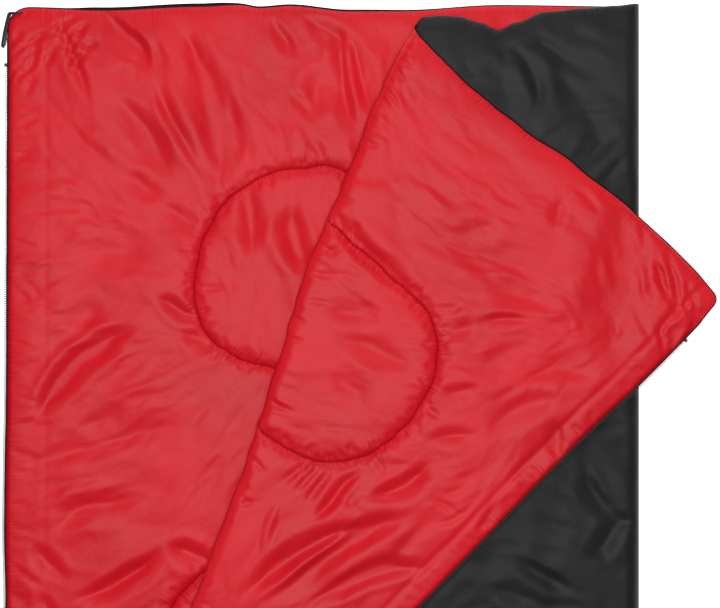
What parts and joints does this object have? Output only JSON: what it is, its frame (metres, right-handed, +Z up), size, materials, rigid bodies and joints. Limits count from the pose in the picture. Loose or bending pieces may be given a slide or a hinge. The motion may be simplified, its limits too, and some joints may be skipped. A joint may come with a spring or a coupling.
{
  "type": "camp blanket",
  "caption": "Rectangular quilted sleeping bag that unzips into a camp blanket: black shell, red lining, zip along one side and the foot, head corner folded back.",
  "frame": {"origin": "middle of the bag's footprint, on the ground that it lies on", "axes": "+X towards the side fold, +Y towards the head end, +Z up"},
  "size_m": [0.842, 1.9036, 0.0561],
  "materials": {
    "shell": "satin",
    "lining": "satin",
    "filling": "matte",
    "thread": "satin",
    "zip_tape": "matte",
    "zip_coil": "satin",
    "zip_metal": "gloss",
    "strap": "matte",
    "hook": "matte",
    "loop": "matte"
  },
  "bodies": {
    "back_panel": {"shell_back": "shell", "insulation_back": "filling", "lining_back": "lining", "stitching_back": "thread", "zip_tape_back": "zip_tape", "zip_coil_back": "zip_coil", "zip_top_stop_back": "zip_metal", "zip_bottom_stop": "zip_metal", "closure_tab_root": "strap"},
    "front_panel": {"shell_front": "shell", "insulation_front": "filling", "lining_front": "lining", "stitching_front": "thread", "zip_tape_front": "zip_tape", "zip_coil_front": "zip_coil"},
    "flap": {"shell_flap": "shell", "insulation_flap": "filling", "lining_flap": "lining", "stitching_flap": "thread", "zip_tape_flap": "zip_tape", "zip_coil_flap": "zip_coil", "zip_top_stop_flap": "zip_metal", "closure_loop_patch": "loop"},
    "zip_slider": {"slider_body": "zip_metal"},
    "zip_puller": {"puller_tab": "zip_metal"},
    "closure_tab": {"closure_tab_strap": "strap", "closure_hook_patch": "hook"}
  },
  "joints": [
    {"name": "side_fold", "type": "hinge", "parent": "back_panel", "child": "front_panel", "pos_m": [0.375, 0, 0.0185], "axis": [0, 1, 0], "range_deg": [0, 180]},
    {"name": "corner_fold", "type": "hinge", "parent": "front_panel", "child": "flap", "pos_m": [0.117, 0.95, 0.0376], "axis": [-0.3777, -0.9259, 0], "range_deg": [0, 180]},
    {"name": "zip_slide", "type": "slide", "parent": "back_panel", "child": "zip_slider", "axis": [0, 1, 0], "range_m": [-0.595, 1.16]},
    {"name": "puller_swing", "type": "hinge", "parent": "zip_slider", "child": "zip_puller", "pos_m": [-0.38125, -0.285, 0.0185], "axis": [0, 0, -1], "range_deg": [0, 180]},
    {"name": "tab_swing", "type": "hinge", "parent": "back_panel", "child": "closure_tab", "pos_m": [-0.3735, 0.946, 0.0095], "axis": [0, 0, -1], "range_deg": [0, 150]}
  ]
}
